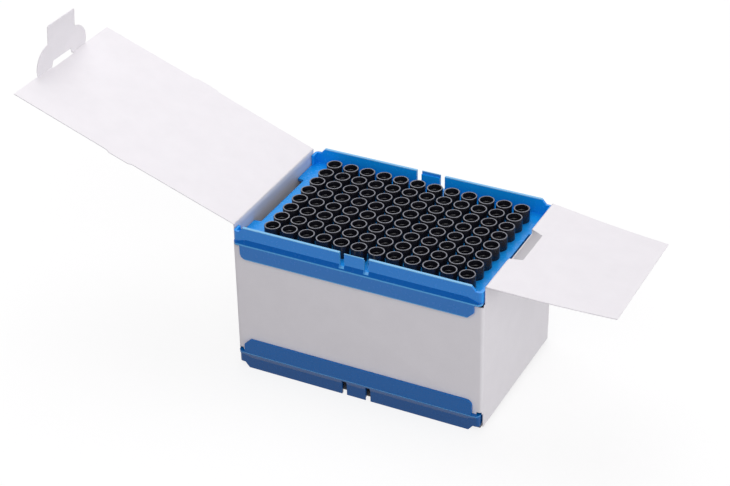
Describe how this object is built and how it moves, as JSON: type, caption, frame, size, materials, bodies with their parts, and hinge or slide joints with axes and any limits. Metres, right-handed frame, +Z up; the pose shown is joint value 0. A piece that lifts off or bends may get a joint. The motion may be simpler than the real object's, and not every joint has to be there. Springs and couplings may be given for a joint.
{
  "type": "pipette tip box",
  "caption": "Box of black pipette tips: a white card sleeve with an open lid and end flap, closed above and below by blue moulded trays; the tips hang in the upper one.",
  "frame": {"origin": "middle of the box between the outsides of its two end panels, on the surface that the box stands on", "axes": "+X along the box from the lid's fold to the end flap's fold, +Y across it away from the side that is seen first, +Z up"},
  "size_m": [0.3043, 0.0858, 0.1445],
  "materials": {
    "tray_plastic": "satin",
    "white_card": "matte",
    "black_tip_plastic": "satin"
  },
  "bodies": {
    "box": {"upper_tray": "tray_plastic", "lower_tray": "tray_plastic", "carton_sleeve": "white_card", "tips_column_01": "black_tip_plastic", "tips_column_02": "black_tip_plastic", "tips_column_03": "black_tip_plastic", "tips_column_04": "black_tip_plastic", "tips_column_05": "black_tip_plastic", "tips_column_06": "black_tip_plastic", "tips_column_07": "black_tip_plastic", "tips_column_08": "black_tip_plastic", "tips_column_09": "black_tip_plastic", "tips_column_10": "black_tip_plastic", "tips_column_11": "black_tip_plastic", "tips_column_12": "black_tip_plastic"},
    "lid": {"carton_lid": "white_card"},
    "tuck_tab": {"lid_tuck_tab": "white_card"},
    "end_flap": {"carton_end_flap": "white_card"}
  },
  "joints": [
    {"name": "lid_hinge", "type": "hinge", "parent": "box", "child": "lid", "pos_m": [-0.06388, 0, 0.0781], "axis": [0, 1, 0], "range_deg": [-55, 160]},
    {"name": "tuck_tab_hinge", "type": "hinge", "parent": "lid", "child": "tuck_tab", "pos_m": [-0.18134, 0, 0.12085], "axis": [0, 1, 0], "range_deg": [-7.25, 21.05]},
    {"name": "end_flap_hinge", "type": "hinge", "parent": "box", "child": "end_flap", "pos_m": [0.06388, 0, 0.0785], "axis": [0, -1, 0], "range_deg": [-84, 180]}
  ],
  "couplings": [
    {"joint": "tuck_tab_hinge", "follows": "lid_hinge", "ratio": 0.13125}
  ]
}
